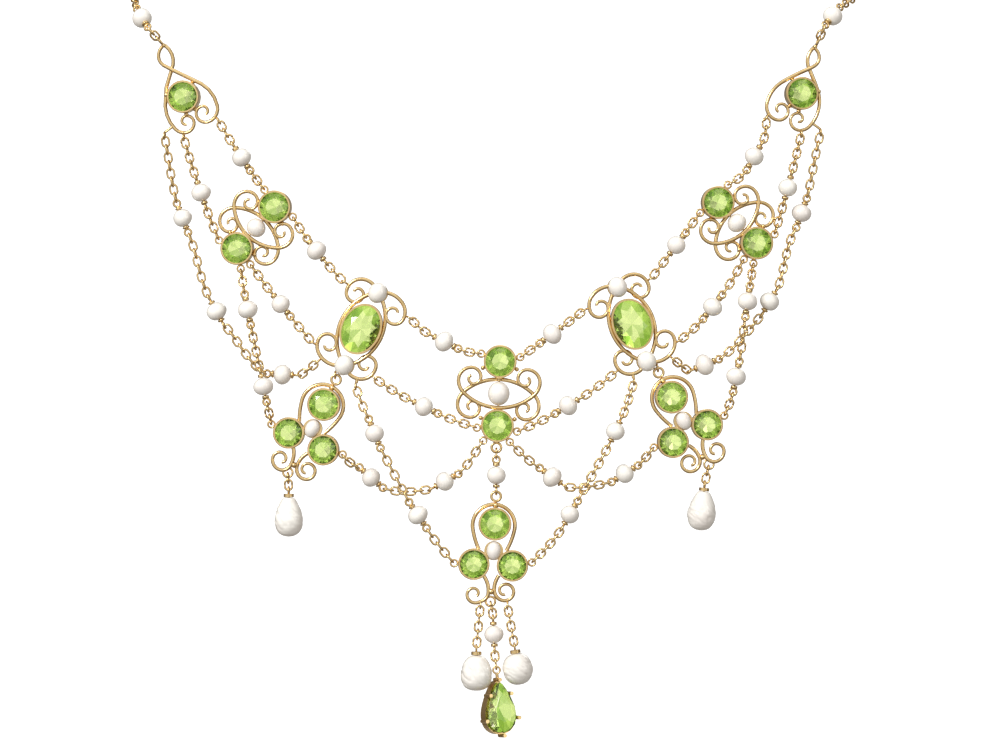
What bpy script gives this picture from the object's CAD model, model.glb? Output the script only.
"""Festoon necklace in gold, peridots and pearls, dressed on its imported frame."""

import math

import bmesh
import bpy
import numpy as np
from bpy.props import FloatProperty, FloatVectorProperty, IntProperty, PointerProperty
from mathutils import Matrix, Vector, noise as noise_field


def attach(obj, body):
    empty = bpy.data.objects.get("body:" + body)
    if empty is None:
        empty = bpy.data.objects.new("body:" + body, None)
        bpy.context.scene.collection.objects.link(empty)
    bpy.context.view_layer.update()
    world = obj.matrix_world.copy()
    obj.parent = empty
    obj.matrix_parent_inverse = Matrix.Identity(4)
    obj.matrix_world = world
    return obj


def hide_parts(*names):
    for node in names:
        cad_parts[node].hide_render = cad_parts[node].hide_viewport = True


bl_info = {
    "name": "Festoon Necklace",
    "version": (1, 0, 0),
    "blender": (4, 5, 0),
    "location": "View3D > Sidebar > Necklace",
    "description": "Dresses a festoon necklace: gold, cut peridots, pearls and trace chains",
    "category": "Object",
}

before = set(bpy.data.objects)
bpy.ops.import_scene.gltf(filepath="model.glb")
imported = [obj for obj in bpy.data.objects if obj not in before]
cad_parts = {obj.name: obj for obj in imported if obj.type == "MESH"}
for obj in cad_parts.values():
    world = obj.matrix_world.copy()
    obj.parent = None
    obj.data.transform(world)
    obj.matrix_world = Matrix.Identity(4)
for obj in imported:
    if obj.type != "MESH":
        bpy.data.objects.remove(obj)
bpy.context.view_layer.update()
BODY = "necklace"
MM = 0.001

# The bowed front that every plaque and pearl lies on, as in the source, in millimetres
BOW_R = 420.0
LOOP_DEPTH = 111.0
LAYER = 2.6
# Along Y: the middle of the neck, and where the bowed front begins
NECK_MIDDLE_Y = -60.0
FRONT_Y = -100.0
# A chain pearl's wire: from the pearl's middle to the middle of its eye, and the eye itself
THREAD_REACH = 2.86
EYE_R = 0.63
EYE_WIRE = 0.36
# From the middle of an eye to the middle of the first link that hangs in it
HOOK_REACH = 1.13
# Between a pearl's end and its collar
DRILL_GAP = 0.08

# Long chains: eye that they start from, whether it stands on edge, pearls [x, z, layers, angle
# of their wire in degrees], the eye that they end at, whether it stands on edge, and the sag of
# each stretch, sideways and down
SWAGS = {
    "left": [
        [(-60.966, -106.567, -49.6), True,
         [(-57.7, -64.7, -0.5, -69), (-51.4, -81.9, -0.5, -61), (-39.2, -93.5, -0.5, -3)],
         (-32.731, -109.8, -91.213), True, [(-0.1, 0), (-0.05, 0), (-0.35, 0.33), (0, 0.3)]],
        [(-25.71, -110.214, -95.652), True, [(-22.2, -104.3, 0.5, -68), (-14.3, -119.2, 0.5, -56)],
         (-7.678, -110.996, -128.031), False, [(-0.1, 0.1), (0, 0), (-0.1, 0.15)]],
        [(-28.089, -110.074, -108.16), False, [(-22.9, -112.4, -0.5, -41), (-9.4, -113.1, -0.5, 29)],
         (-2.35, -111.003, -105.608), False, [(-0.1, 0.35), (0, 0.6), (0.15, 0.2)]],
    ],
    "right": [
        [(59.668, -106.756, -49.0), True,
         [(56.2, -63.8, -0.5, -110), (50.3, -80.1, -0.5, -121), (38.3, -91.75, -0.5, -158)],
         (32.55, -109.807, -90.793), True, [(0, 0), (-0.25, 0), (0.3, 0.27), (0, 0.2)]],
        [(25.271, -110.239, -94.794), True, [(21.8, -103.9, 0.5, -115), (13.5, -119.1, 0.5, -120)],
         (6.578, -111.003, -127.898), False, [(0.1, 0.1), (0, 0), (0.15, 0.2)]],
        [(28.897, -110.017, -106.885), False, [(23.6, -111.7, -0.5, -148), (10.3, -112.3, -0.5, 144)],
         (2.537, -110.997, -105.864), False, [(0, 0.15), (0, 0.5), (-0.1, 0.2)]],
    ],
}
# Pearls on the short chains: place [x, z] on the front with the layers in front of it where it isn't
# on the front itself, and the direction of their wire
SHORT_CHAIN_PEARLS = {
    "left": [
        ((-46.7, -53.7), (0.553, -0.059, -0.831)), ((-32.9, -70.8), (0.621, -0.045, -0.782)),
        ((-9.5, -87.5), (0.895, -0.014, -0.446)), ((-54.2, -60.1), (0.326, -0.045, -0.944)),
        ((-39.5, -80.6), (0.624, -0.064, -0.779)), ((-13.2, -99.4), (0.9, -0.028, -0.435)),
        ((-45.5, -81.6, 0.5), (0.192, -0.079, -0.978)), ((-42.6, -95.7, 0.5), (0.201, 0.034, -0.979)),
        ((0.05, -111.95), (0, 0, -1)), ((-0.4, -141.05), (0.05, 0, -1)),
    ],
    "right": [
        ((47.4, -53.5), (-0.496, -0.051, -0.867)), ((33.05, -69.8), (-0.597, -0.044, -0.801)),
        ((10.3, -86.1), (-0.806, -0.015, -0.592)), ((53.6, -59.2), (-0.26, -0.037, -0.965)),
        ((39.7, -81.1), (-0.62, -0.063, -0.782)), ((13.2, -99.2), (-0.857, -0.026, -0.515)),
        ((46.1, -80.1, 0.5), (-0.154, -0.078, -0.985)), ((44, -93.9, 0.5), (-0.198, 0.035, -0.98)),
    ],
}
SHORT_CHAINS = ("upper_chain_left", "upper_chain_right", "second_chain_left", "second_chain_right",
                "pendant_chain_left", "pendant_chain_right", "centre_chains")
# Neck chain: tip of the heart, its pearl, and the way round the neck (x times the side)
NECK_TIPS = {"left": (-61.115, -106.547, -33.0), "right": (58.677, -106.889, -33.25)}
NECK_PEARLS = {"left": (-65.1, -27.9), "right": (61.9, -27.6)}
NECK_ROUTE = [
    (67.5, -96, -22.5), (68.5, -85, -18.5), (68.5, -74, -14.5), (67, -62, -11), (63, -49, -7.5),
    (56, -36, -4.5), (45, -23, -2), (32, -12, -0.5), (18, -3, 0), (7, 1.2, 0),
]
# Length and diameter of the clasp, and how far the chain's end passes into it
CLASP = (9.0, 3.0)
CLASP_INSET = 0.2
# From the tip of a heart to the start of its chain
TIP_REACH = 0.35

# Profiles of the drop pearls from top to bottom: share of the half width, share of the length
SIDE_SHAPE = [(0, 0), (0.25, 0.003), (0.4, 0.015), (0.47, 0.045), (0.56, 0.1), (0.68, 0.18), (0.8, 0.27),
              (0.9, 0.37), (0.97, 0.47), (1, 0.57), (0.985, 0.67), (0.92, 0.77), (0.81, 0.85), (0.65, 0.92),
              (0.46, 0.965), (0.25, 0.991), (0, 1)]
ROUND_SHAPE = [(0, 0), (0.28, 0.005), (0.46, 0.03), (0.63, 0.08), (0.79, 0.16), (0.91, 0.27), (0.98, 0.39),
               (1, 0.51), (0.98, 0.62), (0.92, 0.72), (0.81, 0.81), (0.66, 0.89), (0.48, 0.95),
               (0.26, 0.988), (0, 1)]
CENTRE_SHAPE = [(0, 0), (0.22, 0.006), (0.4, 0.025), (0.56, 0.07), (0.71, 0.14), (0.83, 0.23), (0.92, 0.33),
                (0.98, 0.45), (1, 0.56), (0.98, 0.67), (0.92, 0.77), (0.82, 0.85), (0.68, 0.915),
                (0.5, 0.96), (0.27, 0.99), (0, 1)]
# Drop pearls: middle of the cap's eye [x, z], lean in degrees, width, length, profile, seed
DROPS = {
    "side_drop_pearl_left": [(-38, -114.75), 0, 5.4, 7.2, SIDE_SHAPE, 3],
    "side_drop_pearl_right": [(38.25, -113.65), -6, 5.4, 7.2, SIDE_SHAPE, 5],
    "centre_drop_pearl_left": [(-3.6, -143.6), 0, 5.9, 6.5, CENTRE_SHAPE, 7],
    "centre_drop_pearl_right": [(3.4, -143.3), 8, 5.7, 5.75, ROUND_SHAPE, 11],
}
# From the middle of a cap's eye to the top of the pearl below it
CAP_HEIGHT = 0.6
CAP_GAP = 0.06
DROP_TOP = EYE_R + CAP_HEIGHT + CAP_GAP

# Points round a ring of wire, and sides of the wire
RING_POINTS = 16
WIRE_SIDES = 8
# Profile of a collar: share of its height, share of its radius
COLLAR_SHAPE = [(0.0, 0.62), (0.12, 0.9), (0.35, 1.0), (0.65, 1.0), (0.88, 0.86), (1.0, 0.5)]
# How far a collar reaches down past its gap into the pearl's dimple, in metres
COLLAR_LAP = 0.00012
# Points of a source mesh that lie closer than this are one, in metres
WELD = 0.000002


class ChainSizes(bpy.types.PropertyGroup):
    """Sizes of the trace chain and of the wires through its pearls"""
    link_length: FloatProperty(name="Link length", description="Outside length of a chain link",
                               default=0.0022, unit="LENGTH")
    link_width: FloatProperty(name="Link width", description="Outside width of a chain link",
                              default=0.00166, unit="LENGTH")
    link_wire: FloatProperty(name="Link wire", description="Diameter of the wire that a link is bent from",
                             default=0.00032, unit="LENGTH")
    extra_wire: FloatProperty(name="Extra wire", description="Added to the radius of all chain wires",
                              default=0.000042, unit="LENGTH")
    link_pitch: FloatProperty(name="Pitch", description="Distance from link to link along the chain",
                              default=0.00146, unit="LENGTH")
    pearl_length: FloatProperty(name="Pearl length", description="Length of a pearl strung in the chain",
                                default=0.0033, unit="LENGTH")
    collar_width: FloatProperty(name="Collar width", description="Diameter of the collar at a pearl's end",
                                default=0.0013, unit="LENGTH")
    collar_height: FloatProperty(name="Collar height", description="Height of that collar along the chain",
                                 default=0.0005, unit="LENGTH")


class DropSizes(bpy.types.PropertyGroup):
    """Wrinkles of the baroque drop pearls"""
    wrinkle_depth: FloatProperty(name="Wrinkle depth", description="Depth as a share of the radius",
                                 default=0.1, min=0, max=0.2)
    wrinkle_density: IntProperty(name="Wrinkles", description="How closely the wrinkles follow each other",
                                 default=4, min=2, max=12)


class Finishes(bpy.types.PropertyGroup):
    """Colours and finishes of the metal, the stones and the pearls"""
    gold: FloatVectorProperty(name="Gold", description="Colour of the polished gold", subtype="COLOR",
                              default=(0.80, 0.59, 0.29), min=0, max=1)
    gold_deep: FloatVectorProperty(name="Deep gold", description="Colour of the gold's darker patches",
                                   subtype="COLOR", default=(0.56, 0.37, 0.15), min=0, max=1)
    gold_roughness: FloatProperty(name="Gold roughness", description="Roughness of the worn polish",
                                  default=0.2, min=0, max=1)
    peridot: FloatVectorProperty(name="Peridot", description="Main colour of the peridots", subtype="COLOR",
                                 default=(0.50, 0.70, 0.13), min=0, max=1)
    peridot_pale: FloatVectorProperty(name="Pale peridot", description="Colour seen through the table",
                                      subtype="COLOR", default=(0.97, 0.95, 0.68), min=0, max=1)
    peridot_deep: FloatVectorProperty(name="Deep peridot", description="Colour of the dark facets",
                                      subtype="COLOR", default=(0.14, 0.30, 0.02), min=0, max=1)
    pearl: FloatVectorProperty(name="Pearl", description="Main colour of the pearls", subtype="COLOR",
                               default=(0.97, 0.94, 0.87), min=0, max=1)
    pearl_blush: FloatVectorProperty(name="Pearl blush", description="Second colour of the pearls",
                                     subtype="COLOR", default=(0.92, 0.86, 0.8), min=0, max=1)


class StageSettings(bpy.types.PropertyGroup):
    """Floor, light and camera"""
    floor_colour: FloatVectorProperty(name="Floor", description="Colour of the floor and backdrop",
                                      subtype="COLOR", default=(0.92, 0.92, 0.92), min=0, max=1)
    camera_distance: FloatProperty(name="Camera distance", description="From the camera to the front",
                                   default=0.95, unit="LENGTH")
    picture_width: FloatProperty(name="Picture width",
                                 description="Width of the picture at the front of the necklace",
                                 default=0.183, unit="LENGTH")
    key_power: FloatProperty(name="Key light", description="Power of the main soft light",
                             default=6.0, unit="POWER")
    fill_power: FloatProperty(name="Fill light", description="Power of the weaker soft lights",
                              default=1.0, unit="POWER")


GROUPS = {
    "necklace_chain": ChainSizes,
    "necklace_drops": DropSizes,
    "necklace_finish": Finishes,
    "necklace_stage": StageSettings,
}


def front_y(x):
    """Where the bowed front lies at a distance to the side"""
    return BOW_R - LOOP_DEPTH - math.sqrt(BOW_R * BOW_R - x * x)


def on_front(p):
    """Place on the front from x, z and the layers that it lies in front of it"""
    return np.array([p[0], front_y(p[0]) - (p[2] * LAYER if len(p) > 2 else 0), p[1]])


def unit(v):
    """A direction of length 1"""
    v = np.asarray(v, float)
    return v / np.linalg.norm(v)


def facing(p):
    """Direction that a chain's flat links face at a place: forward in front, outward round the neck"""
    if p[1] < FRONT_Y:
        return unit([p[0] / BOW_R, -1.0, 0.0])
    # Faces turn away from the side sooner in front of the neck's middle than behind it
    turn = 6 if p[1] < NECK_MIDDLE_Y else 0.8
    return unit([p[0], (p[1] - NECK_MIDDLE_Y) * turn, 0.0])


# Materials

def fresh_material(name):
    """A new material, its nodes and links, its shader and its texture coordinates"""
    mat = bpy.data.materials.new(name)
    mat.use_nodes = True
    nodes, links = mat.node_tree.nodes, mat.node_tree.links
    return mat, nodes, links, nodes["Principled BSDF"], nodes.new("ShaderNodeTexCoord")


def noise(nodes, links, place, scale, detail, roughness=0.5):
    """Value of a noise texture read at a place"""
    n = nodes.new("ShaderNodeTexNoise")
    n.inputs["Scale"].default_value = scale
    n.inputs["Detail"].default_value = detail
    n.inputs["Roughness"].default_value = roughness
    links.new(place, n.inputs["Vector"])
    return n.outputs["Fac"]


def span(nodes, links, source, given, wanted):
    """A value carried from the given range to the wanted one, and held within it"""
    m = nodes.new("ShaderNodeMapRange")
    for name, value in zip(("From Min", "From Max", "To Min", "To Max"), (*given, *wanted)):
        m.inputs[name].default_value = value
    links.new(source, m.inputs["Value"])
    return m.outputs["Result"]


def blend_colours(nodes, links, factor, a, b):
    """A colour between two, each a plain colour or another node's result"""
    m = nodes.new("ShaderNodeMix")
    m.data_type = "RGBA"
    for name, colour in (("A", a), ("B", b)):
        if isinstance(colour, bpy.types.NodeSocket):
            links.new(colour, m.inputs[name])
        else:
            m.inputs[name].default_value = (*colour, 1)
    links.new(factor, m.inputs["Factor"])
    return m.outputs["Result"]


def relief(nodes, links, height, bsdf, strength, distance):
    """Fine unevenness of a surface"""
    b = nodes.new("ShaderNodeBump")
    b.inputs["Strength"].default_value = strength
    b.inputs["Distance"].default_value = distance
    links.new(height, b.inputs["Height"])
    links.new(b.outputs["Normal"], bsdf.inputs["Normal"])


def polished_gold(look):
    mat, nodes, links, bsdf, coord = fresh_material("polished_gold")
    cloud = noise(nodes, links, coord.outputs["Object"], scale=420, detail=4)
    fine = noise(nodes, links, coord.outputs["Object"], scale=2600, detail=3, roughness=0.6)
    tone = span(nodes, links, cloud, (0.35, 0.7), (0, 0.55))
    colour = blend_colours(nodes, links, tone, look.gold, look.gold_deep)
    polish = (look.gold_roughness - 0.07, look.gold_roughness + 0.1)
    links.new(colour, bsdf.inputs["Base Color"])
    links.new(span(nodes, links, cloud, (0.3, 0.7), polish), bsdf.inputs["Roughness"])
    bsdf.inputs["Metallic"].default_value = 1.0
    relief(nodes, links, fine, bsdf, strength=0.12, distance=0.00002)
    return mat


def cut_peridot(look):
    mat, nodes, links, bsdf, coord = fresh_material("cut_peridot")
    # Facets are flat, so noise read at the normal gives each facet a tone of its own
    facet = noise(nodes, links, coord.outputs["Normal"], scale=3.7, detail=2)
    tone = span(nodes, links, facet, (0.38, 0.6), (0, 1))
    ring = blend_colours(nodes, links, tone, look.peridot_deep, look.peridot)
    # The table is the facet that faces forward
    side = nodes.new("ShaderNodeSeparateXYZ")
    links.new(coord.outputs["Normal"], side.inputs["Vector"])
    table = span(nodes, links, side.outputs["Y"], (-0.93, -0.97), (0, 1))
    cloud = noise(nodes, links, coord.outputs["Object"], scale=260, detail=3)
    links.new(blend_colours(nodes, links, table, ring, look.peridot_pale), bsdf.inputs["Base Color"])
    links.new(span(nodes, links, cloud, (0.3, 0.7), (0.01, 0.04)), bsdf.inputs["Roughness"])
    bsdf.inputs["Transmission Weight"].default_value = 0.94
    bsdf.inputs["IOR"].default_value = 1.46
    return mat


def pearl_nacre(look):
    mat, nodes, links, bsdf, coord = fresh_material("pearl_nacre")
    cloud = noise(nodes, links, coord.outputs["Object"], scale=190, detail=3)
    skin = noise(nodes, links, coord.outputs["Object"], scale=900, detail=4, roughness=0.6)
    tone = span(nodes, links, cloud, (0.4, 0.62), (0, 1))
    links.new(blend_colours(nodes, links, tone, look.pearl, look.pearl_blush), bsdf.inputs["Base Color"])
    links.new(span(nodes, links, skin, (0.3, 0.7), (0.16, 0.3)), bsdf.inputs["Roughness"])
    bsdf.inputs["Specular IOR Level"].default_value = 0.6
    bsdf.inputs["Coat Weight"].default_value = 0.8
    bsdf.inputs["Coat Roughness"].default_value = 0.08
    relief(nodes, links, skin, bsdf, strength=0.5, distance=0.00008)
    return mat


def studio_paper(stage):
    mat, nodes, links, bsdf, coord = fresh_material("studio_paper")
    grain = noise(nodes, links, coord.outputs["Object"], scale=40, detail=2)
    low = tuple(c * 0.99 for c in stage.floor_colour)
    links.new(blend_colours(nodes, links, grain, stage.floor_colour, low), bsdf.inputs["Base Color"])
    bsdf.inputs["Roughness"].default_value = 0.9
    bsdf.inputs["Emission Color"].default_value = (1, 1, 1, 1)
    bsdf.inputs["Emission Strength"].default_value = 0.6
    return mat


def finish(maker, context):
    """The material of a maker's name, made when it is first asked for"""
    return bpy.data.materials.get(maker.__name__) or maker(context.scene.necklace_finish)


def dress_nodes(mat, wanted):
    """Gives a material to the frame's nodes of the wanted names"""
    for name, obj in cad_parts.items():
        if wanted(name):
            for slot in obj.material_slots:
                slot.material = mat


def is_pearl(name):
    return "pearl" in name


def is_stone(name):
    return name.endswith("stone") or "_stone_" in name


# Node trees

def new_tree(name, sizes):
    """A tree that takes geometry, named sizes and a material; its input and output nodes"""
    tree = bpy.data.node_groups.new(name, "GeometryNodeTree")
    tree.interface.new_socket("Geometry", in_out="INPUT", socket_type="NodeSocketGeometry")
    for size in sizes:
        tree.interface.new_socket(size, in_out="INPUT", socket_type="NodeSocketFloat")
    tree.interface.new_socket("Material", in_out="INPUT", socket_type="NodeSocketMaterial")
    tree.interface.new_socket("Geometry", in_out="OUTPUT", socket_type="NodeSocketGeometry")
    return tree, tree.nodes.new("NodeGroupInput"), tree.nodes.new("NodeGroupOutput")


def maths(tree, operation, a, b=None):
    """Result of a sum whose terms are numbers or sockets"""
    node = tree.nodes.new("ShaderNodeMath")
    node.operation = operation
    for socket, value in zip(node.inputs, (a, b)):
        if isinstance(value, (int, float)):
            socket.default_value = value
        elif value is not None:
            tree.links.new(value, socket)
    return node.outputs["Value"]


def attribute(tree, name, kind):
    """A value that the points of the base mesh carry"""
    node = tree.nodes.new("GeometryNodeInputNamedAttribute")
    node.data_type = kind
    node.inputs["Name"].default_value = name
    return node.outputs["Attribute"]


def ring_path(tree, radius):
    """A circle in the XY plane for a wire to follow"""
    circle = tree.nodes.new("GeometryNodeCurvePrimitiveCircle")
    circle.inputs["Resolution"].default_value = RING_POINTS
    tree.links.new(radius, circle.inputs["Radius"])
    return circle.outputs["Curve"]


def wire_along(tree, path, wire_r):
    """Mesh of a round wire that follows a path"""
    profile = tree.nodes.new("GeometryNodeCurvePrimitiveCircle")
    profile.inputs["Resolution"].default_value = WIRE_SIDES
    tree.links.new(wire_r, profile.inputs["Radius"])
    sweep = tree.nodes.new("GeometryNodeCurveToMesh")
    tree.links.new(path, sweep.inputs["Curve"])
    tree.links.new(profile.outputs["Curve"], sweep.inputs["Profile Curve"])
    return sweep.outputs["Mesh"]


def along_y(tree, value):
    """Vector of a length along Y"""
    node = tree.nodes.new("ShaderNodeCombineXYZ")
    tree.links.new(value, node.inputs["Y"])
    return node.outputs["Vector"]


def moved(tree, geometry, step=None, rotation=(0, 0, 0)):
    node = tree.nodes.new("GeometryNodeTransform")
    node.inputs["Rotation"].default_value = rotation
    tree.links.new(geometry, node.inputs["Geometry"])
    if step is not None:
        tree.links.new(step, node.inputs["Translation"])
    return node.outputs["Geometry"]


def copies_on(tree, points, piece, rotation):
    """A piece set on every point, each turned"""
    node = tree.nodes.new("GeometryNodeInstanceOnPoints")
    tree.links.new(points, node.inputs["Points"])
    tree.links.new(piece, node.inputs["Instance"])
    tree.links.new(rotation, node.inputs["Rotation"])
    return node.outputs["Instances"]


def close_tree(tree, source, inputs, outputs):
    """Ends a tree: real geometry, smooth, in the material that the tree is given"""
    links, nodes = tree.links, tree.nodes
    real = nodes.new("GeometryNodeRealizeInstances")
    smooth = nodes.new("GeometryNodeSetShadeSmooth")
    paint = nodes.new("GeometryNodeSetMaterial")
    links.new(source, real.inputs["Geometry"])
    links.new(real.outputs["Geometry"], smooth.inputs["Geometry"])
    links.new(smooth.outputs["Geometry"], paint.inputs["Geometry"])
    links.new(inputs.outputs["Material"], paint.inputs["Material"])
    links.new(paint.outputs["Geometry"], outputs.inputs["Geometry"])


def turned(tree, along, face, roll):
    """Rotation that lays Y along the chain and Z to its face, then rolls about Y"""
    axes = tree.nodes.new("FunctionNodeAxesToRotation")
    axes.primary_axis = "Y"
    axes.secondary_axis = "Z"
    tree.links.new(along, axes.inputs["Primary Axis"])
    tree.links.new(face, axes.inputs["Secondary Axis"])
    spin = tree.nodes.new("FunctionNodeAxisAngleToRotation")
    spin.inputs["Axis"].default_value = (0, 1, 0)
    tree.links.new(maths(tree, "MULTIPLY", roll, math.pi / 2), spin.inputs["Angle"])
    both = tree.nodes.new("FunctionNodeRotateRotation")
    both.rotation_space = "LOCAL"
    tree.links.new(axes.outputs["Rotation"], both.inputs["Rotation"])
    tree.links.new(spin.outputs["Rotation"], both.inputs["Rotate By"])
    return both.outputs["Rotation"]


def chain_tree():
    """Links set along paths; a path carries its number of links and whether the first stands on edge"""
    tree, inp, out = new_tree("trace_chain", ["Link Length", "Link Width", "Link Wire"])
    nodes, links = tree.nodes, tree.links
    length, width = inp.outputs["Link Length"], inp.outputs["Link Width"]
    wire_r = maths(tree, "MULTIPLY", inp.outputs["Link Wire"], 0.5)
    bow_r = maths(tree, "SUBTRACT", maths(tree, "MULTIPLY", width, 0.5), wire_r)
    straight = maths(tree, "MULTIPLY", maths(tree, "SUBTRACT", length, width), 0.5)
    # A link is a ring drawn out along Y, turned by half a step so that no point lies where it parts
    ring = moved(tree, ring_path(tree, bow_r), rotation=(0, 0, math.pi / RING_POINTS))
    place = nodes.new("GeometryNodeInputPosition")
    split = nodes.new("ShaderNodeSeparateXYZ")
    links.new(place.outputs["Position"], split.inputs["Vector"])
    stretch = nodes.new("GeometryNodeSetPosition")
    links.new(ring, stretch.inputs["Geometry"])
    end = maths(tree, "SIGN", split.outputs["Y"])
    links.new(along_y(tree, maths(tree, "MULTIPLY", end, straight)), stretch.inputs["Offset"])
    link = wire_along(tree, stretch.outputs["Geometry"], wire_r)

    paths = nodes.new("GeometryNodeMeshToCurve")
    links.new(inp.outputs["Geometry"], paths.inputs["Mesh"])
    spaced = nodes.new("GeometryNodeResampleCurve")
    spaced.mode = "COUNT"
    links.new(paths.outputs["Curve"], spaced.inputs["Curve"])
    links.new(attribute(tree, "links", "INT"), spaced.inputs["Count"])
    tangent = nodes.new("GeometryNodeInputTangent")
    order = nodes.new("GeometryNodeSplineParameter")
    place_in_row = maths(tree, "ADD", order.outputs["Index"], attribute(tree, "first_edge", "FLOAT"))
    rotation = turned(tree, tangent.outputs["Tangent"], attribute(tree, "facing", "FLOAT_VECTOR"),
                      maths(tree, "MODULO", place_in_row, 2.0))
    close_tree(tree, copies_on(tree, spaced.outputs["Curve"], link, rotation), inp, out)
    return tree


def collar(tree, inp):
    """A solid turned about Y from the collar's profile"""
    nodes, links = tree.nodes, tree.links
    steps = len(COLLAR_SHAPE)
    line = nodes.new("GeometryNodeMeshLine")
    line.mode = "OFFSET"
    line.inputs["Count"].default_value = steps
    rise = maths(tree, "DIVIDE", inp.outputs["Collar Height"], float(steps - 1))
    links.new(along_y(tree, rise), line.inputs["Offset"])
    start = maths(tree, "SUBTRACT", inp.outputs["Half Pearl"], COLLAR_LAP)
    links.new(along_y(tree, start), line.inputs["Start Location"])
    spine = nodes.new("GeometryNodeMeshToCurve")
    links.new(line.outputs["Mesh"], spine.inputs["Mesh"])
    width = nodes.new("ShaderNodeFloatCurve")
    points = width.mapping.curves[0].points
    points[0].location, points[1].location = COLLAR_SHAPE[0], COLLAR_SHAPE[-1]
    for spot in COLLAR_SHAPE[1:-1]:
        points.new(*spot)
    width.mapping.update()
    factor = nodes.new("GeometryNodeSplineParameter")
    links.new(factor.outputs["Factor"], width.inputs["Value"])
    profile = nodes.new("GeometryNodeCurvePrimitiveCircle")
    profile.inputs["Resolution"].default_value = 20
    profile.inputs["Radius"].default_value = 1.0
    turn = nodes.new("GeometryNodeCurveToMesh")
    turn.inputs["Fill Caps"].default_value = True
    links.new(spine.outputs["Curve"], turn.inputs["Curve"])
    links.new(profile.outputs["Curve"], turn.inputs["Profile Curve"])
    collar_r = maths(tree, "MULTIPLY", inp.outputs["Collar Width"], 0.5)
    links.new(maths(tree, "MULTIPLY", width.outputs["Value"], collar_r), turn.inputs["Scale"])
    return turn.outputs["Mesh"]


def fitting_tree():
    """A pearl's wire, collar and eye, set at each point along the direction that the point carries"""
    tree, inp, out = new_tree("pearl_fittings", ["Half Pearl", "Collar Width", "Collar Height", "Wire",
                                                 "Eye Radius", "Reach"])
    nodes, links = tree.nodes, tree.links
    wire_r = maths(tree, "MULTIPLY", inp.outputs["Wire"], 0.5)
    eye = wire_along(tree, ring_path(tree, inp.outputs["Eye Radius"]), wire_r)
    wire_length = maths(tree, "SUBTRACT", inp.outputs["Reach"], inp.outputs["Eye Radius"])
    rod = nodes.new("GeometryNodeMeshCylinder")
    rod.inputs["Vertices"].default_value = 10
    links.new(wire_r, rod.inputs["Radius"])
    links.new(wire_length, rod.inputs["Depth"])
    half_way = along_y(tree, maths(tree, "MULTIPLY", wire_length, 0.5))
    join = nodes.new("GeometryNodeJoinGeometry")
    for part in (moved(tree, eye, along_y(tree, inp.outputs["Reach"])), collar(tree, inp),
                 moved(tree, rod.outputs["Mesh"], half_way, (-math.pi / 2, 0, 0))):
        links.new(part, join.inputs["Geometry"])
    dots = nodes.new("GeometryNodeMeshToPoints")
    links.new(inp.outputs["Geometry"], dots.inputs["Mesh"])
    rotation = turned(tree, attribute(tree, "along", "FLOAT_VECTOR"),
                      attribute(tree, "facing", "FLOAT_VECTOR"), attribute(tree, "roll", "FLOAT"))
    copies = copies_on(tree, dots.outputs["Points"], join.outputs["Geometry"], rotation)
    close_tree(tree, copies, inp, out)
    return tree


def stout_tree():
    """Moves a closed surface outwards, so that drawn wire becomes stouter"""
    tree, inp, out = new_tree("stout_wire", ["Extra Wire"])
    nodes, links = tree.nodes, tree.links
    weld = nodes.new("GeometryNodeMergeByDistance")
    weld.inputs["Distance"].default_value = WELD
    links.new(inp.outputs["Geometry"], weld.inputs["Geometry"])
    normal = nodes.new("GeometryNodeInputNormal")
    step = nodes.new("ShaderNodeVectorMath")
    step.operation = "SCALE"
    links.new(normal.outputs["Normal"], step.inputs[0])
    links.new(inp.outputs["Extra Wire"], step.inputs["Scale"])
    swell = nodes.new("GeometryNodeSetPosition")
    links.new(weld.outputs["Geometry"], swell.inputs["Geometry"])
    links.new(step.outputs["Vector"], swell.inputs["Offset"])
    close_tree(tree, swell.outputs["Geometry"], inp, out)
    return tree


def tree_named(name, maker):
    return bpy.data.node_groups.get(name) or maker()


def link_up(obj):
    bpy.context.scene.collection.objects.link(obj)
    return obj


def baked(name, base, tree, values):
    """The plain mesh that a node tree makes from a base mesh"""
    obj = link_up(bpy.data.objects.new(name, base))
    modifier = obj.modifiers.new("make", "NODES")
    modifier.node_group = tree
    for item in tree.interface.items_tree:
        if item.item_type == "SOCKET" and item.in_out == "INPUT" and item.name in values:
            modifier[item.identifier] = values[item.name]
    bpy.context.view_layer.update()
    mesh = bpy.data.meshes.new_from_object(obj.evaluated_get(bpy.context.evaluated_depsgraph_get()))
    obj.modifiers.remove(modifier)
    obj.data = mesh
    mesh.name = name
    if len(mesh.polygons) == 0:
        raise RuntimeError("the node tree made nothing for " + name)
    return obj


# Chains

def bezier(a, p, r, b, n=24):
    """Points of a cubic curve from a to b with handles p and r"""
    t = np.linspace(0, 1, n + 1)[:, None]
    u = 1 - t
    return u ** 3 * a + 3 * u * u * t * p + 3 * u * t * t * r + t ** 3 * b


def sagging(a, b, ta, tb, sag):
    """Curve between two eyes that leaves a pearl along its bore and passes below the straight line"""
    reach = np.linalg.norm(b - a) / 3
    q = b - tb * reach if tb is not None else b
    p = a + ta * reach if ta is not None else (a + q) / 2
    r = q if tb is not None else (b + p) / 2
    middle = (a + b) / 2 + np.array([sag[0], 0, -sag[1]])
    lift = (middle - (a + 3 * p + 3 * r + b) / 8) * 4 / 3
    return bezier(a, p + lift, r + lift, b)


def lengths(c):
    """Length along a curve at each of its points"""
    return np.concatenate([[0], np.cumsum(np.linalg.norm(np.diff(c, axis=0), axis=1))])


def links_in(total, pitch):
    """Number of links in a stretch between two eyes, which may be drawn out by 3 in 100"""
    return max(2, math.ceil((total * 0.97 - 2 * HOOK_REACH) / pitch) + 1)


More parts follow.
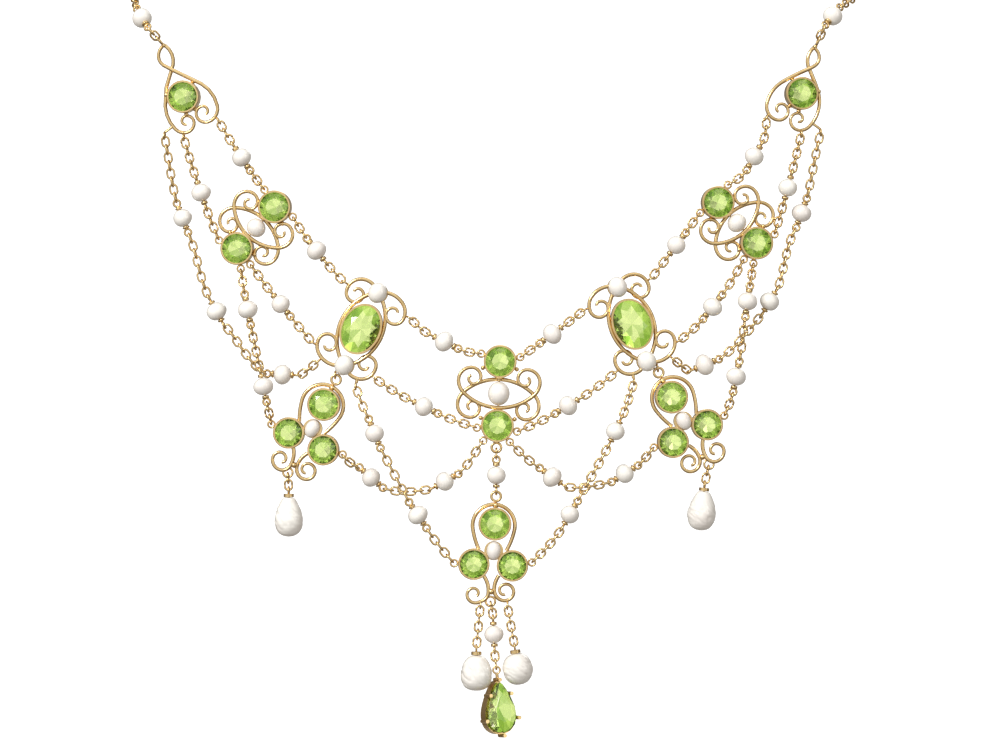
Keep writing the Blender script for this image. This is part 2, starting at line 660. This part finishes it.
def between(c, s0, s1, n=40):
    """The part of a curve between two lengths along it"""
    d = lengths(c)
    s = np.linspace(s0, s1, n)
    return np.stack([np.interp(s, d, c[:, k]) for k in range(3)], 1)


def smooth_route(points, steps=10):
    """A smooth curve through points"""
    p = [np.asarray(q, float) for q in points]
    out = []
    for i in range(len(p) - 1):
        a, b, c, d = p[max(i - 1, 0)], p[i], p[i + 1], p[min(i + 2, len(p) - 1)]
        for k in range(steps):
            t = k / steps
            out.append(0.5 * (2 * b + (c - a) * t + (2 * a - 5 * b + 4 * c - d) * t * t
                              + (3 * b - a - 3 * c + d) * t ** 3))
    return np.array(out + [p[-1]])


class Strand:
    """Gathers the paths of a chain and the fittings of its pearls"""

    def __init__(self, pitch):
        self.pitch = pitch / MM
        self.paths = []
        self.fittings = []
        self.pearls = []

    def stretch(self, curve, edge):
        """Adds the links of one stretch; returns whether the eye at its end stands on edge"""
        total = lengths(curve)[-1]
        n = links_in(total, self.pitch)
        slack = total / (2 * HOOK_REACH + (n - 1) * self.pitch)
        s0 = slack * HOOK_REACH
        self.paths.append((between(curve, s0, total - s0), n, 0 if edge else 1))
        return (not edge) if n % 2 == 0 else edge

    def end(self, pearl, way, edge):
        """Adds the wire and eye at one end of a pearl"""
        self.fittings.append((pearl, way, 1 if edge else 0))

    def path_mesh(self):
        points, edges, n_links, first, face = [], [], [], [], []
        for path, n, edge in self.paths:
            base = len(points)
            points += [tuple(p * MM) for p in path]
            edges += [(base + i, base + i + 1) for i in range(len(path) - 1)]
            n_links += [n] * len(path)
            first += [float(edge)] * len(path)
            face += [facing(p) for p in path]
        mesh = bpy.data.meshes.new("paths")
        mesh.from_pydata(points, edges, [])
        carry(mesh, "links", "INT", n_links)
        carry(mesh, "first_edge", "FLOAT", first)
        carry(mesh, "facing", "FLOAT_VECTOR", face)
        return mesh

    def fitting_mesh(self):
        pearls, ways, rolls = zip(*self.fittings)
        mesh = bpy.data.meshes.new("fittings")
        mesh.from_pydata([tuple(p * MM) for p in pearls], [], [])
        carry(mesh, "along", "FLOAT_VECTOR", ways)
        carry(mesh, "facing", "FLOAT_VECTOR", [facing(p) for p in pearls])
        carry(mesh, "roll", "FLOAT", [float(r) for r in rolls])
        return mesh

    def make(self, name, node, sizes, gold):
        extra = 2 * sizes.extra_wire
        chain = baked(name, self.path_mesh(), tree_named("trace_chain", chain_tree), {
            "Link Length": sizes.link_length + extra, "Link Width": sizes.link_width + extra,
            "Link Wire": sizes.link_wire + extra, "Material": gold})
        ends = baked(name + "_fittings", self.fitting_mesh(), tree_named("pearl_fittings", fitting_tree), {
            "Half Pearl": sizes.pearl_length / 2 + DRILL_GAP * MM, "Collar Width": sizes.collar_width + extra,
            "Collar Height": sizes.collar_height, "Wire": EYE_WIRE * MM + extra, "Eye Radius": EYE_R * MM,
            "Reach": THREAD_REACH * MM, "Material": gold})
        for piece in (chain, ends):
            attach(piece, BODY)
            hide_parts(node)


def carry(mesh, name, kind, values):
    """Gives each point of a mesh a value for a node tree to read"""
    field = "vector" if kind == "FLOAT_VECTOR" else "value"
    mesh.attributes.new(name, kind, "POINT").data.foreach_set(field, np.array(values).ravel())


def swag_strand(side, sizes):
    """The three long swags of one side"""
    strand = Strand(sizes.link_pitch)
    for a, edge, pearls, b, b_edge, sags in SWAGS[side]:
        p = [np.array(a, float)] + [on_front(q[:3]) for q in pearls] + [np.array(b, float)]
        way = [None]
        for i, q in enumerate(pearls):
            angle = math.radians(q[3])
            depth = unit(p[i + 2] - p[i])[1]
            way.append(unit([math.cos(angle), depth, math.sin(angle)]))
        way.append(None)
        last = len(p) - 2
        for i in range(last):
            pearl, bore = p[i + 1], way[i + 1]
            start = p[i] if way[i] is None else p[i] + way[i] * THREAD_REACH
            curve = sagging(start, pearl - bore * THREAD_REACH, way[i], bore, sags[i])
            edge = strand.stretch(curve, edge)
            strand.pearls.append((pearl, bore))
            strand.end(pearl, -bore, edge)
            if i + 1 < last:
                strand.end(pearl, bore, edge)
        # The last eye turns so that the last link fits the eye at the end
        curve = sagging(p[last] + way[last] * THREAD_REACH, p[-1], way[last], None, sags[last])
        n = links_in(lengths(curve)[-1], strand.pitch)
        fore = (not b_edge) if n % 2 == 0 else b_edge
        strand.end(p[last], way[last], fore)
        strand.stretch(curve, fore)
    return strand


def neck_strand(side, sizes):
    """One side of the neck chain, from the tip of the heart to the clasp"""
    sign = -1 if side == "left" else 1
    strand = Strand(sizes.link_pitch)
    tip = np.array(NECK_TIPS[side], float)
    pearl = on_front(NECK_PEARLS[side])
    route = [np.array([sign * q[0], q[1], q[2]], float) for q in NECK_ROUTE]
    way = unit(route[0] - tip)
    eye = pearl - way * THREAD_REACH
    first = tip + unit(eye - tip) * TIP_REACH
    edge = strand.stretch(sagging(first, eye, None, way, (0, 0)), False)
    strand.pearls.append((pearl, way))
    strand.end(pearl, -way, edge)
    strand.end(pearl, way, edge)
    end = np.array([sign * (CLASP[0] / 2 - CLASP_INSET), CLASP[1] / 2, 0])
    strand.stretch(smooth_route([pearl + way * THREAD_REACH] + route + [end]), edge)
    return strand


# Pearls

def width_at(shape, t):
    """A profile's share of the half width at a share of its length"""
    return float(np.interp(t, [q[1] for q in shape], [q[0] for q in shape]))


def wrinkle_at(spot):
    """Wrinkles between 0 and 1: noise folded into thin creases, stronger in some places"""
    fold = 1 - abs(noise_field.noise(spot)) * 2.2
    patch = 0.5 + 0.5 * noise_field.noise(spot * 0.31 + Vector((7, 3, 1)))
    return max(fold, 0.0) ** 2 * patch


def smooth_mesh(bm, name, place=None):
    """The mesh of a built surface, facing outwards and shaded smooth"""
    bmesh.ops.recalc_face_normals(bm, faces=bm.faces)
    if place is not None:
        bm.transform(place)
    mesh = bpy.data.meshes.new(name)
    bm.to_mesh(mesh)
    bm.free()
    mesh.shade_smooth()
    return mesh


def join_rows(bm, upper, lower):
    """Faces between two rings of as many points"""
    for i in range(len(upper)):
        k = (i + 1) % len(upper)
        bm.faces.new((upper[i], upper[k], lower[k], lower[i]))


def baroque_drop(name, eye, lean, width, length, shape, seed, sizes):
    """A drop pearl, wrinkled and lopsided, closed at its poles"""
    around, rings, lopsided = 72, 60, 0.012
    rng = np.random.default_rng(seed)
    phases = rng.uniform(0, 2 * math.pi, 2)
    slant = Matrix.Rotation(rng.uniform(0.5, 1.0), 3, "Y") @ Matrix.Rotation(rng.uniform(-0.5, 0.5), 3, "X")
    shift = Vector(rng.uniform(0, 20, 3))
    c = on_front(eye)
    turn = Matrix.Rotation(math.asin(c[0] / BOW_R), 4, "Z") @ Matrix.Rotation(math.radians(-lean), 4, "Y")
    stretch = Vector((1.1, 1.1, sizes.wrinkle_density))
    bm = bmesh.new()
    rows = []
    for j in range(1, rings):
        f = 0.5 - 0.5 * math.cos(math.pi * j / rings)
        r = width_at(shape, f) * width / 2
        fade = math.sin(math.pi * f) ** 0.6
        row = []
        for i in range(around):
            a = 2 * math.pi * i / around
            # Noise is read in a slanted frame, so that the wrinkles run slanting round the pearl
            spot = slant @ (Vector((r * math.cos(a), r * math.sin(a), f * length)) * (2 / width))
            wrinkle = wrinkle_at(spot * stretch + shift)
            lump = math.sin(2 * a + phases[0] + 4 * f) + math.sin(3 * a + phases[1] - 3 * f)
            s = r * (1 - fade * (sizes.wrinkle_depth * wrinkle + lopsided * (1 + 0.5 * lump)))
            row.append(bm.verts.new(Vector((s * math.cos(a), s * math.sin(a), -DROP_TOP - f * length)) * MM))
        rows.append(row)
    top = bm.verts.new((0, 0, -DROP_TOP * MM))
    bottom = bm.verts.new((0, 0, (-DROP_TOP - length) * MM))
    for upper, lower in zip(rows, rows[1:]):
        join_rows(bm, upper, lower)
    for i in range(around):
        k = (i + 1) % around
        bm.faces.new((top, rows[0][k], rows[0][i]))
        bm.faces.new((bottom, rows[-1][i], rows[-1][k]))
    mesh = smooth_mesh(bm, name, Matrix.Translation(Vector(c * MM)) @ turn)
    return link_up(bpy.data.objects.new(name, mesh))


def strung_pearl(bm, middle, way, sizes, rng):
    """A pearl on its wire: nearly round, a little lumpy, dimpled where the wire enters"""
    around, rings, bore_r, dimple = 24, 15, 0.16, 0.93
    length = (sizes.pearl_length / MM) * rng.uniform(0.985, 1.0)
    width = (sizes.pearl_length / MM) * rng.uniform(1.04, 1.18)
    phase = rng.uniform(0, 2 * math.pi, 3)
    lump = rng.uniform(0.01, 0.035, 2)
    bore = unit(way)
    side = unit(np.cross(bore, facing(middle)))
    front = np.cross(side, bore)
    rows = []
    for j in range(rings + 1):
        t = math.pi * j / rings
        inner = 0 < j < rings
        r = width / 2 * math.sin(t) if inner else bore_r
        y = -length / 2 * math.cos(t) * (1 if inner else dimple)
        row = []
        for i in range(around):
            a = 2 * math.pi * i / around
            swell = lump[0] * math.sin(2 * a + phase[0]) + lump[1] * math.sin(a + phase[1] + 2 * t)
            out = (side * math.cos(a) + front * math.sin(a)) * r * (1 + math.sin(t) * swell)
            row.append(bm.verts.new(Vector((middle + bore * y + out) * MM)))
        rows.append(row)
    for lower, upper in zip(rows, rows[1:]):
        join_rows(bm, lower, upper)
    bm.faces.new(rows[0][::-1])
    bm.faces.new(rows[-1])


# Stage

def studio_sweep(settings):
    """The floor, which bends up behind into the backdrop"""
    floor, fore, back, top, bend, half = -0.235, -1.6, 1.7, 2.4, 0.6, 2.2
    side = [(fore, floor)]
    for a in np.linspace(0, math.pi / 2, 14):
        side.append((back - bend + bend * math.sin(a), floor + bend - bend * math.cos(a)))
    side.append((back, top))
    bm = bmesh.new()
    rows = [[bm.verts.new((x, y, z)) for x in (-half, half)] for y, z in side]
    for a, b in zip(rows, rows[1:]):
        bm.faces.new((a[0], a[1], b[1], b[0]))
    mesh = smooth_mesh(bm, "studio_sweep")
    mesh.materials.append(studio_paper(settings))
    sweep = link_up(bpy.data.objects.new("studio_sweep", mesh))
    sweep.visible_glossy = False
    sweep.visible_diffuse = False
    return sweep


def area_light(name, place, target, size, power):
    """A soft light at a place, turned to its target"""
    data = bpy.data.lights.new(name, "AREA")
    data.shape = "RECTANGLE"
    data.size, data.size_y = size
    data.energy = power
    obj = link_up(bpy.data.objects.new(name, data))
    obj.location = place
    obj.rotation_euler = (Vector(target) - Vector(place)).to_track_quat("-Z", "Y").to_euler()


def studio_world():
    """Light by direction: brightest from the front, the left and above, darkest past the sides"""
    world = bpy.data.worlds.new("studio")
    world.use_nodes = True
    nodes, links = world.node_tree.nodes, world.node_tree.links
    coord = nodes.new("ShaderNodeTexCoord")
    lean = nodes.new("ShaderNodeVectorMath")
    lean.operation = "DOT_PRODUCT"
    lean.inputs[1].default_value = (-0.35, -0.75, 0.56)
    links.new(coord.outputs["Generated"], lean.inputs[0])
    shift = nodes.new("ShaderNodeMapRange")
    shift.inputs["From Min"].default_value = -1
    links.new(lean.outputs["Value"], shift.inputs["Value"])
    ramp = nodes.new("ShaderNodeValToRGB")
    tones = ramp.color_ramp.elements
    tones[0].position, tones[0].color = 0.34, (0.13, 0.11, 0.09, 1)
    tones[1].position, tones[1].color = 0.9, (1, 1, 1, 1)
    tones.new(0.06).color = (0.42, 0.4, 0.37, 1)
    tones.new(0.62).color = (0.36, 0.33, 0.3, 1)
    links.new(shift.outputs["Result"], ramp.inputs["Fac"])
    # The camera sees a plain pale surround; the studio's light and dark reach only the necklace
    path = nodes.new("ShaderNodeLightPath")
    seen = blend_colours(nodes, links, path.outputs["Is Camera Ray"], ramp.outputs["Color"],
                         (1.05, 1.05, 1.05))
    links.new(seen, nodes["Background"].inputs["Color"])
    nodes["Background"].inputs["Strength"].default_value = 0.95
    return world


def studio_camera(settings):
    """The camera, level in front of the necklace's middle"""
    sensor, clip = 36, (0.01, 20)
    middle = (0.00073, -LOOP_DEPTH * MM, -0.0936)
    data = bpy.data.cameras.new("camera")
    data.sensor_width = sensor
    data.lens = sensor * settings.camera_distance / settings.picture_width
    data.clip_start, data.clip_end = clip
    camera = link_up(bpy.data.objects.new("camera", data))
    camera.location = (middle[0], middle[1] - settings.camera_distance, middle[2])
    camera.rotation_euler = (math.pi / 2, 0, 0)
    return camera


# Operators

class NECKLACE_OT_stage(bpy.types.Operator):
    """Sets the pale floor that sweeps up behind, the soft lights and the camera"""
    bl_idname = "necklace.stage"
    bl_label = "Stage"

    def execute(self, context):
        scene, settings = context.scene, context.scene.necklace_stage
        sweep = studio_sweep(settings)
        middle = (0.0, -0.09, -0.09)
        area_light("key", (-0.55, -0.85, 0.42), middle, (0.34, 0.26), settings.key_power)
        area_light("fill", (0.75, -0.7, 0.1), middle, (0.35, 0.6), settings.fill_power)
        area_light("top", (0.1, -0.25, 0.75), middle, (0.6, 0.5), settings.fill_power)
        area_light("back", (0.5, 0.9, 0.55), middle, (0.6, 0.5), settings.fill_power * 1.6)
        scene.world = studio_world()
        scene.camera = studio_camera(settings)
        scene.view_settings.view_transform = "Standard"
        return {"FINISHED"}


class NECKLACE_OT_metal(bpy.types.Operator):
    """Gives the gold frames, collets, caps and the clasp their worn polish"""
    bl_idname = "necklace.metal"
    bl_label = "Gold"

    def execute(self, context):
        dress_nodes(finish(polished_gold, context), lambda n: not is_pearl(n) and not is_stone(n))
        return {"FINISHED"}


class NECKLACE_OT_stones(bpy.types.Operator):
    """Gives the cut peridots their colour and depth"""
    bl_idname = "necklace.stones"
    bl_label = "Peridots"

    def execute(self, context):
        dress_nodes(finish(cut_peridot, context), is_stone)
        return {"FINISHED"}


class NECKLACE_OT_pearls(bpy.types.Operator):
    """Gives the seated pearls their nacre"""
    bl_idname = "necklace.pearls"
    bl_label = "Seated pearls"

    def execute(self, context):
        dress_nodes(finish(pearl_nacre, context), is_pearl)
        return {"FINISHED"}


class NECKLACE_OT_swags(bpy.types.Operator):
    """Makes the long swags of trace chain and the wires through their pearls"""
    bl_idname = "necklace.swags"
    bl_label = "Swag chains"

    def execute(self, context):
        sizes, gold = context.scene.necklace_chain, finish(polished_gold, context)
        for side in ("left", "right"):
            swag_strand(side, sizes).make("swag_links_" + side, "swag_chains_" + side, sizes, gold)
        return {"FINISHED"}


class NECKLACE_OT_links(bpy.types.Operator):
    """Makes the short chains anew from their source links, with stouter wire"""
    bl_idname = "necklace.links"
    bl_label = "Short chains"

    def execute(self, context):
        sizes, gold = context.scene.necklace_chain, finish(polished_gold, context)
        for node in SHORT_CHAINS:
            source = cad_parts[node]
            base = source.data.copy()
            base.transform(source.matrix_world)
            base.materials.clear()
            piece = baked(node + "_links", base, tree_named("stout_wire", stout_tree),
                          {"Extra Wire": sizes.extra_wire, "Material": gold})
            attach(piece, BODY)
            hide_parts(node)
        return {"FINISHED"}


class NECKLACE_OT_neck(bpy.types.Operator):
    """Makes the trace chain round the neck from each heart to the clasp"""
    bl_idname = "necklace.neck"
    bl_label = "Neck chain"

    def execute(self, context):
        sizes, gold = context.scene.necklace_chain, finish(polished_gold, context)
        for side in ("left", "right"):
            neck_strand(side, sizes).make("neck_links_" + side, "neck_chain_" + side, sizes, gold)
        return {"FINISHED"}


class NECKLACE_OT_strung(bpy.types.Operator):
    """Makes the pearls that are strung in the chains, each a little different"""
    bl_idname = "necklace.strung"
    bl_label = "Strung pearls"

    def execute(self, context):
        sizes, pearl = context.scene.necklace_chain, finish(pearl_nacre, context)
        for side, node, seed in (("left", "chain_pearls_left_and_centre", 21),
                                 ("right", "chain_pearls_right", 22)):
            rng = np.random.default_rng(seed)
            bm = bmesh.new()
            places = [(on_front(p), np.array(w, float)) for p, w in SHORT_CHAIN_PEARLS[side]]
            for middle, way in places + swag_strand(side, sizes).pearls + neck_strand(side, sizes).pearls:
                strung_pearl(bm, middle, way, sizes, rng)
            mesh = smooth_mesh(bm, "strung_pearls_" + side)
            mesh.materials.append(pearl)
            piece = link_up(bpy.data.objects.new("strung_pearls_" + side, mesh))
            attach(piece, BODY)
            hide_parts(node)
        return {"FINISHED"}


class NECKLACE_OT_drops(bpy.types.Operator):
    """Makes the four wrinkled baroque drop pearls"""
    bl_idname = "necklace.drops"
    bl_label = "Baroque drops"

    def execute(self, context):
        sizes, pearl = context.scene.necklace_drops, finish(pearl_nacre, context)
        for node, (eye, lean, width, length, shape, seed) in DROPS.items():
            piece = baroque_drop("baroque_" + node, eye, lean, width, length, shape, seed, sizes)
            piece.data.materials.append(pearl)
            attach(piece, BODY)
            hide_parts(node)
        return {"FINISHED"}


STEPS = (NECKLACE_OT_stage, NECKLACE_OT_metal, NECKLACE_OT_stones, NECKLACE_OT_pearls, NECKLACE_OT_swags,
         NECKLACE_OT_links, NECKLACE_OT_neck, NECKLACE_OT_strung, NECKLACE_OT_drops)


class NECKLACE_PT_panel(bpy.types.Panel):
    """The necklace's settings and steps"""
    bl_idname = "NECKLACE_PT_panel"
    bl_label = "Festoon Necklace"
    bl_space_type = "VIEW_3D"
    bl_region_type = "UI"
    bl_category = "Necklace"

    def draw(self, context):
        for key, group in GROUPS.items():
            box = self.layout.box()
            for name in group.__annotations__:
                box.prop(getattr(context.scene, key), name)
        for step in STEPS:
            self.layout.operator(step.bl_idname)


CLASSES = (*GROUPS.values(), *STEPS, NECKLACE_PT_panel)


def register():
    for cls in CLASSES:
        bpy.utils.register_class(cls)
    for key, group in GROUPS.items():
        setattr(bpy.types.Scene, key, PointerProperty(type=group))


def unregister():
    for key in GROUPS:
        delattr(bpy.types.Scene, key)
    for cls in reversed(CLASSES):
        bpy.utils.unregister_class(cls)


def main():
    register()
    for step in STEPS:
        group, name = step.bl_idname.split(".")
        getattr(getattr(bpy.ops, group), name)()


if __name__ == "__main__":
    main()
